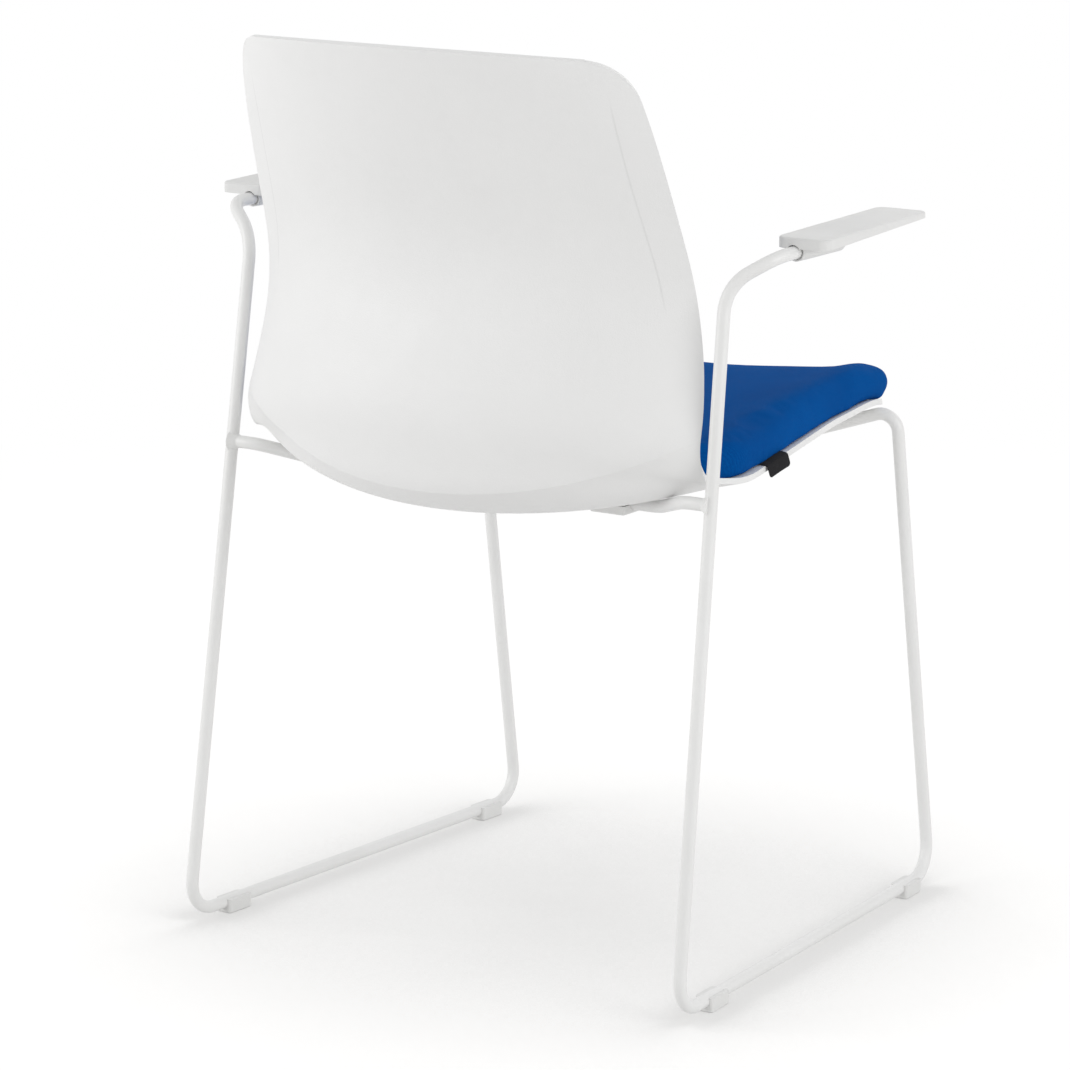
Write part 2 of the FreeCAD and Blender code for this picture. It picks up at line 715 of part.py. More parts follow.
def make_shell():
    wall = curved_plate("shell_wall", shell_rows(), 0, size("wall"))
    wall = rounded_corners("front", wall, [(0, 1)], form.half_width, "front_corner_radius")
    wall = rounded_corners("top", wall, [(1, -1)], form.half_width, "top_corner_radius")
    above = curved_plate("space_above", shell_rows(end=SEAT_END), size("wall") / 2,
                         size("wall") / 2 + size("boss_height"))
    bosses = []
    hollows = []
    for end, spacing, y, z in CLAMPS:
        reach = value_of(f"{spacing} + Sizes.clamp_length")
        hollows.append(cylinder(f"{end}_saddle", "Sizes.rod_diameter / 2 + Sizes.clamp_fit",
                                f"2 * ({spacing} + Sizes.clamp_length)",
                                Vector(-reach, value_of(y), value_of(z)), Vector(1, 0, 0)))
        for _, side in SIDES:
            block = doc.addObject("Part::Box", f"{end}_boss")
            block.setExpression("Length", "Sizes.clamp_length")
            block.setExpression("Width", "Sizes.clamp_width")
            block.setExpression("Height", "Sizes.boss_height")
            block.Placement = Placement(Vector(value_of(f"{side} * {spacing} - Sizes.clamp_length / 2"),
                                               value_of(f"{y} - Sizes.clamp_width / 2"),
                                               value_of(f"{z} + Sizes.clamp_split")), Rotation())
            bosses.append(block)
    for point, direction in clamp_seats():
        hollows.append(cylinder("clamp_screw_bore", "Sizes.clamp_screw_diameter / 2 + Sizes.screw_play",
                                "Sizes.clamp_screw_length + Sizes.screw_play", point, direction))
    for point, direction in board_seats():
        bosses.append(cylinder("screw_pad", "Sizes.screw_pad_diameter / 2",
                               "Sizes.screw_pad_height + Sizes.wall", point, direction))
        hollows.append(cylinder("board_screw_hole", "Sizes.board_screw_diameter / 2 + Sizes.screw_play",
                                "Sizes.screw_pad_height + Sizes.wall * 2", point, direction))
    bosses = add_boolean("Cut", "bosses_below", fused("boss_blanks", bosses), above)
    shell = add_boolean("Fuse", "shell_with_bosses", wall, bosses)
    shell = add_boolean("Cut", "seat_back_shell", shell, fused("shell_hollows", hollows))
    shell.Label = "seat_back_shell"
    return shell


# Seat board and cushion

def make_shell_space():
    """All that lies below the cushion and the board: the shell's wall grown by the clearance."""
    return curved_plate("shell_space", shell_rows(size("wall"), HEEL_END, first=-1), -size("wall"),
                        size("wall") + size("seat_clearance"))


def board_plate(name, grow):
    """The board, or the larger space that the cushion leaves for it, both begun inside the shell's wall."""
    margin = size("board_inset") - grow
    reach = form.spine.length

    def half_width(u):
        return form.half_width(u) - margin

    start = margin / reach
    end = 0.4 - margin / reach
    steps = 8
    rows = [(start + (end - start) * i / steps, half_width(start + (end - start) * i / steps))
            for i in range(steps + 1)]
    top = size("wall") + size("seat_clearance") + size("board_thickness") + grow
    plate = curved_plate(name, rows, size("wall") / 2, top)
    return rounded_corners(name, plate, [(start, 1), (end, -1)], half_width, "board_corner_radius")


def cushion_outline(half, share):
    """Upper and lower half of the section: flat below, drawn-in sides, rounded shoulders, a crowned top."""
    full = size("cushion_thickness")
    height = full * share
    rounding = min(size("cushion_shoulder"), height * 0.45)
    draw = size("cushion_draw_in") * share
    crown = size("cushion_crown") * share
    right = [(half - draw, 0), (half - draw / 3, height * 0.22), (half, height * 0.45)]
    right += [(half - rounding * (1 - math.cos(math.radians(a))),
               height - rounding * (1 - math.sin(math.radians(a)))) for a in (25, 50, 75)]
    right += [(half * f, height + crown * (1 - f**2)) for f in (0.85, 0.6, 0.3)]
    upper = right + [(0, height + crown)] + [(-x, h) for x, h in reversed(right)]
    lower = [((half - draw) * f, 0) for f in (-1, -0.6, -0.2, 0.2, 0.6, 1)]
    return upper, lower


def spacing(outline):
    """Distance along the outline at each of its points."""
    places = [0.0]
    for (x, h), (next_x, next_h) in zip(outline, outline[1:]):
        places.append(places[-1] + math.hypot(next_x - x, next_h - h))
    return places


def cushion_section(u, half, share):
    """Closed outline at one place, its points spaced alike in every section."""
    base = size("wall") * 0.8 + size("cushion_thickness") * (1 - share) / 2
    curves = []
    for outline, model in zip(cushion_outline(half, share), cushion_outline(size("hip_half_width"), 1.0)):
        curve = Part.BSplineCurve()
        curve.interpolate(Points=[form.lifted(u, x, base + h) for x, h in outline], Parameters=spacing(model))
        curves.append(curve.toShape())
    return Part.Wire(curves)


def closed_skin(sections):
    """Solid through closed outlines of two curves each, its ends closed between the two curves."""
    skin = Part.makeLoft(sections, False)
    caps = [Part.makeRuledSurface(wire.Edges[0], wire.Edges[1]) for wire in (sections[0], sections[-1])]
    return closed_solid(skin.Faces + [face for cap in caps for face in cap.Faces])


def quarter_round(distance, length):
    """Share of the full size at a distance from a rounded end."""
    if distance >= length:
        return 1.0
    return math.sqrt(1 - (1 - distance / length)**2)


def make_cushion(shell_space):
    reach = form.spine.length * form.PAIRS[1][1] / form.PAIRS[1][0]
    front = -size("cushion_overhang")
    rear = size("cushion_reach")
    nose = size("cushion_nose")
    heel = size("cushion_heel")
    corner = size("cushion_front_corner")
    places = [front + nose * f for f in (0.05, 0.2, 0.5, 1.0, 1.8)]
    flat = front + nose * 1.8
    steps = 10
    places += [flat + (rear - heel - flat) * (i + 1) / steps for i in range(steps)]
    places += [rear - heel * f for f in (0.55, 0.22, 0.06)]
    sections = []
    for place in places:
        share = min(quarter_round(place - front, nose), quarter_round(rear - place, heel))
        lost = corner * (1 - quarter_round(place - front, corner))
        lost += size("cushion_rear_corner") * (1 - quarter_round(rear - place, size("cushion_rear_corner")))
        half = form.half_width(place / reach) - size("cushion_inset") - lost
        sections.append(cushion_section(place / reach, half, share))
    blank = helper_shape("cushion_blank", closed_skin(sections))
    space = board_plate("board_space", size("seat_clearance"))
    cushion = add_boolean("Cut", "cushion_on_board", blank, space)
    cushion = add_boolean("Cut", "seat_cushion", cushion, shell_space)
    cushion.Label = "seat_cushion"
    return cushion


def make_board(shell_space):
    plate = add_boolean("Cut", "board_on_shell", board_plate("board_plate", 0), shell_space)
    holes = [cylinder("board_hole", "Sizes.board_screw_diameter / 2 + Sizes.screw_play",
                      "Sizes.board_screw_length + Sizes.screw_play", point, direction)
             for point, direction in board_seats()]
    board = add_boolean("Cut", "seat_board", plate, fused("board_holes", holes))
    board.Label = "seat_board"
    return board


# Floor glides, arm pads and label

def make_glide(label, side, setback):
    body = new_body(label)
    profile = new_sketch(body, "profile", "XZ_Plane")
    draw_polygon(profile, [(f"{sign} Sizes.glide_width / 2", up)
                           for sign, up in (("-", "0 mm"), ("+", "0 mm"), ("+", "Sizes.glide_height"),
                                            ("-", "Sizes.glide_height"))])
    add_pad(body, profile, "block", "Sizes.glide_length", symmetric=True)
    add_rounding(body, "ends", "Fillet", "Sizes.glide_corner", lambda edge: is_parallel(edge, UP))
    add_rounding(body, "sole_edge", "Chamfer", "Sizes.glide_edge",
                 lambda edge: edge.BoundBox.ZMax < 0.01)
    seat = new_sketch(body, "rod_seat", "XZ_Plane")
    draw_circle(seat, "0 mm", RUNNER_Z, "Sizes.rod_diameter / 2 + Sizes.glide_fit")
    add_pocket(body, seat, "snap_groove", symmetric=True)
    share = setback / size("runner_length")
    spread = size("front_foot_half_width") - size("rear_foot_half_width")
    across = size("rear_foot_half_width") + share * spread
    splay = math.atan2(size("rear_foot_half_width") - size("front_foot_half_width"), size("runner_length"))
    body.Placement = Placement(Vector(side * across, size("rear_corner_y") - setback, 0),
                               Rotation(UP, -side * math.degrees(splay)))
    return body


def make_arm_pad(label, side):
    body = new_body(label)
    rear = "Sizes.rear_corner_y - Sizes.pad_rear_setback"
    rear_top = "Sizes.arm_height + Sizes.pad_top_over_rod"
    front_top = f"{rear_top} + Sizes.pad_rise"
    profile = new_sketch(body, "side_view", "YZ_Plane",
                         f"{side} * (Sizes.arm_half_width + Sizes.pad_side_offset)")
    draw_polygon(profile, [
        (rear, f"{rear_top} - Sizes.pad_rear_edge"),
        (rear, rear_top),
        (f"{rear} - Sizes.pad_length", front_top),
        (f"{rear} - Sizes.pad_length", f"{front_top} - Sizes.pad_front_edge")])
    add_pad(body, profile, "plate", "Sizes.pad_width", symmetric=True)
    add_rounding(body, "corners", "Fillet", "Sizes.pad_corner_radius", lambda edge: is_parallel(edge, UP))
    top = max(body.Tip.Shape.Faces, key=lambda face: face.CenterOfMass.z)
    outline = [edge.hashCode() for edge in top.Edges]
    add_rounding(body, "top_edge", "Chamfer", "Sizes.pad_top_bevel",
                 lambda edge: edge.hashCode() in outline)
    mouth = "Sizes.rear_corner_y - Sizes.sleeve_setback"
    bore = "Sizes.rod_diameter / 2 + Sizes.sleeve_fit"
    rings = (
        ("sleeve", mouth, f"{bore} + Sizes.sleeve_wall", "Sizes.sleeve_length"),
        ("bore", mouth, bore, "Sizes.arm_rod_insertion + Sizes.sleeve_recess"),
        ("ring_gap", rear, f"{bore} + Sizes.sleeve_ring",
         "Sizes.sleeve_setback - Sizes.pad_rear_setback + Sizes.sleeve_recess"),
    )
    for name, start, radius, length in rings:
        ring = new_sketch(body, f"{name}_circle", "XZ_Plane", f"-({start})")
        draw_circle(ring, f"{side} * Sizes.arm_half_width", "Sizes.arm_height", radius)
        if name == "sleeve":
            add_pad(body, ring, name, length)
        else:
            add_pocket(body, ring, name, length, reverse=True)
    holes = new_sketch(body, "screw_circles", "XY_Plane", "Sizes.arm_height - Sizes.rod_diameter")
    for inset in SCREW_INSETS:
        draw_circle(holes, f"{side} * Sizes.arm_half_width", f"{mouth} - {inset}",
                    "Sizes.pad_screw_diameter / 2 + Sizes.screw_play")
    add_pocket(body, holes, "screw_bores", "(Sizes.rod_diameter - Sizes.sleeve_wall) / 2"
               " + Sizes.pad_screw_length + Sizes.screw_play", reverse=True)
    return body


SCREW_INSETS = ("Sizes.pad_screw_inset", "(Sizes.pad_screw_inset + Sizes.pad_screw_pitch)")


def pad_screw_seats(side):
    """Lower end of each grub screw that pins the rod in the pad, just inside the sleeve's wall."""
    below = value_of("Sizes.arm_height - Sizes.rod_diameter / 2 - Sizes.sleeve_wall / 2")
    return [(Vector(side * size("arm_half_width"),
                    value_of(f"Sizes.rear_corner_y - Sizes.sleeve_setback - {inset}"), below), UP)
            for inset in SCREW_INSETS]


def grub_screw_master():
    body = doc.addObject("Part::Cylinder", "grub_screw")
    body.setExpression("Radius", "Sizes.pad_screw_diameter / 2")
    body.setExpression("Height", "Sizes.pad_screw_length")
    socket = doc.addObject("Part::Prism", "grub_socket")
    socket.Polygon = 6
    socket.setExpression("Circumradius", "Sizes.pad_screw_diameter / 3.5")
    socket.setExpression("Height", "Sizes.pad_screw_diameter / 2")
    doc.recompute()
    return add_boolean("Cut", "grub_screw_master", body, socket)


def make_label():
    """Bare tab sewn to the cushion's side seam, laid over the shell's edge and hanging outside."""
    body = new_body("cushion_label")
    band = new_sketch(body, "band_section", "XZ_Plane")
    far = "-Sizes.label_reach"
    draw_polygon(band, [
        ("0 mm", "0 mm"), ("0 mm", "Sizes.label_thickness"),
        (f"{far} - Sizes.label_thickness", "Sizes.label_thickness"),
        (f"{far} - Sizes.label_thickness - Sizes.label_lean", "-Sizes.label_drop"),
        (f"{far} - Sizes.label_lean", "-Sizes.label_drop"), (far, "0 mm")])
    add_pad(body, band, "band", "Sizes.label_width", symmetric=True)
    ends = []
    for shift in (-0.5, 0.5):
        setback = size("label_setback") + shift * size("label_width")
        u = form.u_at_setback(setback, -size("hip_half_width"))
        ends.append(form.lifted(u, -form.half_width(u), size("wall")))
    middle = (ends[0] + ends[1]) / 2
    body.Placement = Placement(middle + Vector(size("cushion_inset") + size("cushion_draw_in") * 0.6, 0,
                                               1.5 * size("seat_clearance")),
                               Rotation(Vector(0, 1, 0), ends[0] - ends[1]))
    return body


def drilled(frame, side):
    """Screw holes through the end of an arm rod."""
    name = frame.Label
    frame.Label = "bent_rod"
    drills = [cylinder("arm_drill", "Sizes.pad_screw_diameter / 2 + Sizes.screw_play",
                       "Sizes.rod_diameter * 2", seat, direction)
              for seat, direction in pad_screw_seats(side)]
    result = add_boolean("Cut", "drilled_frame", frame, fused("arm_drills", drills))
    result.Label = name
    return result


def check_and_write(parts):
    doc.recompute()
    for item in doc.Objects:
        if "Invalid" in item.State or "Error" in item.State:
            raise RuntimeError(f"{item.Name} failed: {item.State}")
    os.makedirs("parts", exist_ok=True)
    for part in parts:
        shape = part.Shape
        if shape.isNull() or not shape.isValid():
            raise RuntimeError(f"{part.Label} has no valid shape")
        shape.exportStep(f"parts/{part.Label}.step")
        print(f"{part.Label}: {len(shape.Solids)} solids, {shape.Volume:.0f} mm3")


left_frame, right_frame, cross_rod = make_frame()
parts = [drilled(left_frame, 1), drilled(right_frame, -1), cross_rod]
parts += [make_glide(f"{side_name}_{end}_glide", side, size(f"{end}_glide_setback"))
          for side_name, side in SIDES for end in ("rear", "front")]
parts += [make_arm_pad(f"{side_name}_arm_pad", side) for side_name, side in SIDES]
pad_screw = grub_screw_master()
parts += [screw_group(f"{side_name}_arm_pad_screws", pad_screw, pad_screw_seats(side))
          for side_name, side in SIDES]
parts += [make_clamp(end, side_name, side, spacing, y, z)
          for end, spacing, y, z in CLAMPS for side_name, side in SIDES]
clamp_screw = screw_master("clamp_screw", "Sizes.clamp_screw_length")
parts.append(screw_group("clamp_screws", clamp_screw, clamp_seats()))
parts.append(make_shell())
shell_space = make_shell_space()
parts.append(make_board(shell_space))
parts.append(screw_group("seat_board_screws", screw_master("board_screw", "Sizes.board_screw_length"),
                         board_seats()))
parts.append(make_cushion(shell_space))
parts.append(make_label())
check_and_write(parts)
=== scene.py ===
import json
from math import atan2, cos, hypot, pi, radians, sin

import bmesh
import bpy
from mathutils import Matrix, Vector
from mathutils.bvhtree import BVHTree


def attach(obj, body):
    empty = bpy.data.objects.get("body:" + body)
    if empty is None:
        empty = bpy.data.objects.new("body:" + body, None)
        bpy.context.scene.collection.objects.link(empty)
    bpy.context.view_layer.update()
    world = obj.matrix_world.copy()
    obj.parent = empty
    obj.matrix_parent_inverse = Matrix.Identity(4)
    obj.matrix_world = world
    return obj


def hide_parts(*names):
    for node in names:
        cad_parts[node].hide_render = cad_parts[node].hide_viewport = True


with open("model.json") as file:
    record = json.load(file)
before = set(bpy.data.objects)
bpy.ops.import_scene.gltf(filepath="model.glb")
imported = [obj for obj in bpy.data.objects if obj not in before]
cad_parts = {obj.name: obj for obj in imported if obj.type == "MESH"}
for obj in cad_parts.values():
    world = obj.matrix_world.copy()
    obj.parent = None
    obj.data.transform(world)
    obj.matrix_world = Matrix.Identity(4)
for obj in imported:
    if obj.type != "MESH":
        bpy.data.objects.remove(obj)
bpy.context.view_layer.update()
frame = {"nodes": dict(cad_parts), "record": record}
nodes = frame["nodes"]
scene = bpy.context.scene


# Camera: the photograph's viewing angle

CAMERA_PLACE = Vector((-2.113, 3.2172, 1.1984))
CAMERA_AZIMUTH = 213.61
CAMERA_ELEVATION = 12.53
IMAGE_SIDE = 1070
FOCAL_PIXELS = 4545
SENSOR = 36.0
CLIP = (0.05, 100.0)


def make_camera():
    azimuth = radians(CAMERA_AZIMUTH)
    elevation = radians(CAMERA_ELEVATION)
    back = Vector((sin(azimuth) * cos(elevation), -cos(azimuth) * cos(elevation), sin(elevation)))
    data = bpy.data.cameras.new("photo_camera")
    data.sensor_width = SENSOR
    data.lens = SENSOR * FOCAL_PIXELS / IMAGE_SIDE
    data.clip_start, data.clip_end = CLIP
    camera = bpy.data.objects.new("photo_camera", data)
    camera.location = CAMERA_PLACE
    camera.rotation_euler = (-back).to_track_quat("-Z", "Y").to_euler()
    scene.collection.objects.link(camera)
    scene.camera = camera


make_camera()


# Node tools

def shader_tree(name):
    material = bpy.data.materials.new(name)
    material.use_nodes = True
    tree = material.node_tree
    tree.nodes.clear()
    output = tree.nodes.new("ShaderNodeOutputMaterial")
    return material, tree, output


def link(tree, source, target):
    tree.links.new(source, target)


def feed(tree, value, target):
    """Give a socket a number, a colour or what another socket puts out."""
    if isinstance(value, bpy.types.NodeSocket):
        link(tree, value, target)
    elif isinstance(value, tuple):
        target.default_value = (*value, 1.0)
    else:
        target.default_value = value


def noise_node(tree, coordinates, scale, detail=3.0, roughness=0.55):
    node = tree.nodes.new("ShaderNodeTexNoise")
    node.inputs["Scale"].default_value = scale
    node.inputs["Detail"].default_value = detail
    node.inputs["Roughness"].default_value = roughness
    link(tree, coordinates, node.inputs["Vector"])
    return node


def noise(tree, coordinates, scale, detail=3.0, roughness=0.55):
    return noise_node(tree, coordinates, scale, detail, roughness).outputs["Fac"]


def remap(tree, value, low, high, from_low=0.3, from_high=0.7):
    node = tree.nodes.new("ShaderNodeMapRange")
    node.inputs["From Min"].default_value = from_low
    node.inputs["From Max"].default_value = from_high
    node.inputs["To Min"].default_value = low
    node.inputs["To Max"].default_value = high
    link(tree, value, node.inputs["Value"])
    return node.outputs["Result"]


def math_node(tree, operation, *values):
    node = tree.nodes.new("ShaderNodeMath")
    node.operation = operation
    for socket, value in zip(node.inputs, values):
        feed(tree, value, socket)
    return node.outputs[0]


def vector_node(tree, operation, source, result="Vector"):
    node = tree.nodes.new("ShaderNodeVectorMath")
    node.operation = operation
    link(tree, source, node.inputs[0])
    return node, node.outputs[result]


def axes(tree, vector):
    """The outputs X, Y and Z of a vector."""
    node = tree.nodes.new("ShaderNodeSeparateXYZ")
    link(tree, vector, node.inputs["Vector"])
    return node.outputs


def colour_mix(tree, amount, first, second):
    node = tree.nodes.new("ShaderNodeMix")
    node.data_type = "RGBA"
    link(tree, amount, node.inputs["Factor"])
    feed(tree, first, node.inputs["A"])
    feed(tree, second, node.inputs["B"])
    return node.outputs["Result"]


def bump(tree, height, distance, strength=1.0, normal=None):
    node = tree.nodes.new("ShaderNodeBump")
    node.inputs["Strength"].default_value = strength
    node.inputs["Distance"].default_value = distance
    link(tree, height, node.inputs["Height"])
    if normal is not None:
        link(tree, normal, node.inputs["Normal"])
    return node.outputs["Normal"]


def object_coordinates(tree):
    return tree.nodes.new("ShaderNodeTexCoord").outputs["Object"]


def tent(tree, value, middle, half_width):
    """1 where the value is at the middle, down to 0 at the half width on both sides."""
    away = math_node(tree, "ABSOLUTE", math_node(tree, "SUBTRACT", value, middle))
    return math_node(tree, "MAXIMUM", math_node(tree, "MULTIPLY_ADD", away, -1.0 / half_width, 1.0), 0.0)


def finish_surface(tree, output, colour, roughness, normal, settings):
    shader = tree.nodes.new("ShaderNodeBsdfPrincipled")
    link(tree, colour, shader.inputs["Base Color"])
    link(tree, roughness, shader.inputs["Roughness"])
    link(tree, normal, shader.inputs["Normal"])
    for name, value in settings.items():
        feed(tree, value, shader.inputs[name])
    link(tree, shader.outputs["BSDF"], output.inputs["Surface"])


# Moulded plastic

MOULDED_SPECULAR = 0.45
GLOSS_DRIFT = (-0.05, 0.06)


def moulded_look(tree, place, light, dark, roughness, grain, grain_depth):
    """Colour, roughness and normal of a fine even grain, with a slow drift of tone and gloss."""
    drift = noise(tree, place, scale=6.0, detail=4.0)
    rubbed = noise(tree, place, scale=28.0, detail=6.0, roughness=0.65)
    fine = noise(tree, place, scale=grain, detail=2.0, roughness=0.5)
    colour = colour_mix(tree, remap(tree, drift, 0.0, 1.0), dark, light)
    gloss = remap(tree, rubbed, roughness + GLOSS_DRIFT[0], roughness + GLOSS_DRIFT[1])
    return colour, gloss, bump(tree, fine, grain_depth)


def moulded_plastic(name, light, dark, roughness, grain, grain_depth):
    material, tree, output = shader_tree(name)
    look = moulded_look(tree, object_coordinates(tree), light, dark, roughness, grain, grain_depth)
    finish_surface(tree, output, *look, {"Specular IOR Level": MOULDED_SPECULAR})
    return material


# The shell's plastic: the crisp edge across its heel, and the fine line inside each side of the back

CREASE_HEIGHT = 0.4204
CREASE_CLIMB = (0.87, 3.5)
CREASE_REACH = 0.026
CREASE_RISE = 0.0032
CREASE_DEPTHS = (0.13, 0.16)
INSET_MIDDLE = 0.665
INSET_SHAPE = (0.1838, -0.1, 0.3)
INSET_WIDTH = 0.0011
INSET_DEPTH = 0.00016
INSET_FADE = (0.07, 0.092)
INSET_FACING = (0.1, 0.3)
# Painted shade: the colour the inset lines are darkened to, standing in for the shade inside the groove.
INSET_PAINTED_SHADE = (0.76, 0.76, 0.755)


def shell_crease(tree, place):
    """Height of the crisp edge that runs across the shell between its back and its underside.

    The edge climbs from the middle towards both sides, and is gone on the side walls and on the seat.
    """
    x, y, z = axes(tree, place)
    x_squared = math_node(tree, "MULTIPLY", x, x)
    climb = math_node(tree, "MULTIPLY_ADD", x_squared, CREASE_CLIMB[1], CREASE_CLIMB[0])
    edge = math_node(tree, "MULTIPLY_ADD", climb, x_squared, CREASE_HEIGHT)
    near = tent(tree, z, edge, CREASE_REACH)
    ridge = math_node(tree, "MULTIPLY", near, near)
    return math_node(tree, "MULTIPLY", ridge, remap(tree, y, 0.0, 1.0, *CREASE_DEPTHS))


def inset_line(tree, place, facing):
    """Strength of the fine line: 1 along its middle, 0 beside it, past its ends and on the front face."""
    x, _, z = axes(tree, place)
    above = math_node(tree, "SUBTRACT", z, INSET_MIDDLE)
    bend = math_node(tree, "MULTIPLY_ADD", above, INSET_SHAPE[2], INSET_SHAPE[1])
    aside = math_node(tree, "MULTIPLY_ADD", bend, above, INSET_SHAPE[0])
    near = tent(tree, math_node(tree, "ABSOLUTE", x), aside, INSET_WIDTH)
    fade = remap(tree, math_node(tree, "ABSOLUTE", above), 1.0, 0.0, *INSET_FADE)
    return math_node(tree, "MULTIPLY", math_node(tree, "MULTIPLY", near, fade), facing)


def shell_moulding(name, light, dark, roughness, grain, grain_depth):
    """Moulded plastic with the heel's edge as a ridge, and the inset lines as shallow grooves darkened
    with painted shade.
    """
    material, tree, output = shader_tree(name)
    source = tree.nodes.new("ShaderNodeTexCoord")
    place = source.outputs["Object"]
    colour, gloss, normal = moulded_look(tree, place, light, dark, roughness, grain, grain_depth)
    rear_face = remap(tree, axes(tree, source.outputs["Normal"])[1], 0.0, 1.0, *INSET_FACING)
    line = inset_line(tree, place, rear_face)
    ridged = bump(tree, shell_crease(tree, place), CREASE_RISE, normal=normal)
    grooved = bump(tree, math_node(tree, "SUBTRACT", 1.0, line), INSET_DEPTH, normal=ridged)
    # Along each inset line the colour is mixed towards painted shade.
    finish_surface(tree, output, colour_mix(tree, line, colour, INSET_PAINTED_SHADE), gloss, grooved,
                   {"Specular IOR Level": MOULDED_SPECULAR})
    return material


# Powder coat, cloth and zinc

PEEL_DEPTH = 0.00025
PEEL_STRENGTH = 0.6
SWIRL_SCALE = 420.0
SWIRL_THREADS = 2.4
THREAD_AND_FUZZ = (0.75, 0.5)
HEIGHT_AND_BLOTCH = (0.55, 0.5)
TONE_RANGE = (0.25, 0.95)
ZINC_MARK_DEPTH = 0.00005


def powder_coat(name, light, dark):
    """Powder coat on steel rod: satin, cloudy in tone and gloss, with a soft orange peel."""
    material, tree, output = shader_tree(name)
    place = object_coordinates(tree)
    peel = noise(tree, place, scale=420.0, detail=2.0, roughness=0.4)
    cloud = noise(tree, place, scale=11.0, detail=5.0, roughness=0.6)
    colour = colour_mix(tree, remap(tree, cloud, 0.0, 1.0), dark, light)
    finish_surface(tree, output, colour, remap(tree, cloud, 0.33, 0.44),
                   bump(tree, peel, PEEL_DEPTH, PEEL_STRENGTH),
                   {"Coat Weight": 0.15, "Coat Roughness": 0.25})
    return material


def wobbled(tree, place, amount):
    """Coordinates shifted a little this way and that, so that no thread runs straight."""
    swirl = noise_node(tree, place, SWIRL_SCALE, detail=2.0, roughness=0.5)
    shrink, shrunk = vector_node(tree, "SCALE", swirl.outputs["Color"])
    shrink.inputs["Scale"].default_value = amount
    total, moved = vector_node(tree, "ADD", place)
    link(tree, shrunk, total.inputs[1])
    return moved


def weighed(tree, first, second, weights):
    """The sum of two values, each with its own weight."""
    return math_node(tree, "ADD", math_node(tree, "MULTIPLY", first, weights[0]),
                     math_node(tree, "MULTIPLY", second, weights[1]))


def woven_cloth(name, light, dark, thread, depth, sheen):
    """Plain weave with fuzz and a blotchy dye. Its threads follow the top and fold over the sides."""
    material, tree, output = shader_tree(name)
    place = object_coordinates(tree)
    x, y, z = axes(tree, wobbled(tree, place, thread * SWIRL_THREADS))
    across = math_node(tree, "SUBTRACT", math_node(tree, "ABSOLUTE", x), z)
    along = math_node(tree, "ADD", y, z)
    warp = math_node(tree, "SINE", math_node(tree, "MULTIPLY", across, pi / thread))
    weft = math_node(tree, "SINE", math_node(tree, "MULTIPLY", along, pi / thread))
    threads = math_node(tree, "MULTIPLY_ADD", math_node(tree, "MULTIPLY", warp, weft), 0.5, 0.5)
    fuzz = noise(tree, place, scale=2600.0, detail=3.0, roughness=0.7)
    height = weighed(tree, threads, fuzz, THREAD_AND_FUZZ)
    blotch = noise(tree, place, scale=14.0, detail=5.0, roughness=0.6)
    tone = weighed(tree, height, blotch, HEIGHT_AND_BLOTCH)
    colour = colour_mix(tree, remap(tree, tone, 0.0, 1.0, *TONE_RANGE), dark, light)
    finish_surface(tree, output, colour, remap(tree, fuzz, 0.82, 0.95), bump(tree, height, depth),
                   {"Sheen Weight": sheen, "Sheen Roughness": 0.4, "Sheen Tint": light,
                    "Specular IOR Level": 0.05})
    return material


def zinc_steel(name, light, dark):
    """Bright zinc plate: fine turning marks and cloudy passivation."""
    material, tree, output = shader_tree(name)
    place = object_coordinates(tree)
    cloud = noise(tree, place, scale=180.0, detail=4.0, roughness=0.6)
    marks = noise(tree, place, scale=3200.0, detail=2.0, roughness=0.5)
    colour = colour_mix(tree, remap(tree, cloud, 0.0, 1.0), dark, light)
    finish_surface(tree, output, colour, remap(tree, cloud, 0.28, 0.42),
                   bump(tree, marks, ZINC_MARK_DEPTH), {"Metallic": 1.0})
    return material


# The finish of each material slot

finish = {
    "frame_paint": powder_coat(
        "frame_paint_look", light=(0.84, 0.84, 0.835), dark=(0.80, 0.80, 0.79)),
    "shell_plastic": shell_moulding(
        "shell_plastic_look", light=(0.85, 0.85, 0.845), dark=(0.82, 0.82, 0.815),
        roughness=0.5, grain=900.0, grain_depth=0.00012),
    # Part of the pads' darker tone is painted shade, standing in for the weaker light that falls on the
    # pads' tops.
    "pad_plastic": moulded_plastic(
        "pad_plastic_look", light=(0.78, 0.78, 0.775), dark=(0.74, 0.74, 0.73),
        roughness=0.45, grain=1100.0, grain_depth=0.0001),
    "glide_plastic": moulded_plastic(
        "glide_plastic_look", light=(0.80, 0.80, 0.79), dark=(0.74, 0.74, 0.73),
        roughness=0.4, grain=700.0, grain_depth=0.0001),
    "clamp_plastic": moulded_plastic(
        "clamp_plastic_look", light=(0.82, 0.82, 0.81), dark=(0.78, 0.78, 0.77),
        roughness=0.5, grain=900.0, grain_depth=0.0001),
    "board_plastic": moulded_plastic(
        "board_plastic_look", light=(0.05, 0.05, 0.05), dark=(0.03, 0.03, 0.03),
        roughness=0.55, grain=600.0, grain_depth=0.0002),
    "cushion_fabric": woven_cloth(
        "cushion_cloth_look", light=(0.0, 0.1, 0.385), dark=(0.0, 0.052, 0.235),
        thread=0.0011, depth=0.0002, sheen=0.05),
    "label_fabric": woven_cloth(
        "label_cloth_look", light=(0.035, 0.035, 0.037), dark=(0.012, 0.012, 0.013),
        thread=0.0005, depth=0.0001, sheen=0.3),
    "zinc_steel": zinc_steel(
        "zinc_steel_look", light=(0.72, 0.72, 0.74), dark=(0.52, 0.52, 0.5)),
}


def dress(piece, slot):
    piece.data.materials.clear()
    piece.data.materials.append(finish[slot])


for part in frame["record"]["subparts"]:
    dress(nodes[part["node"]], part["material_slot"])


# Floor and light

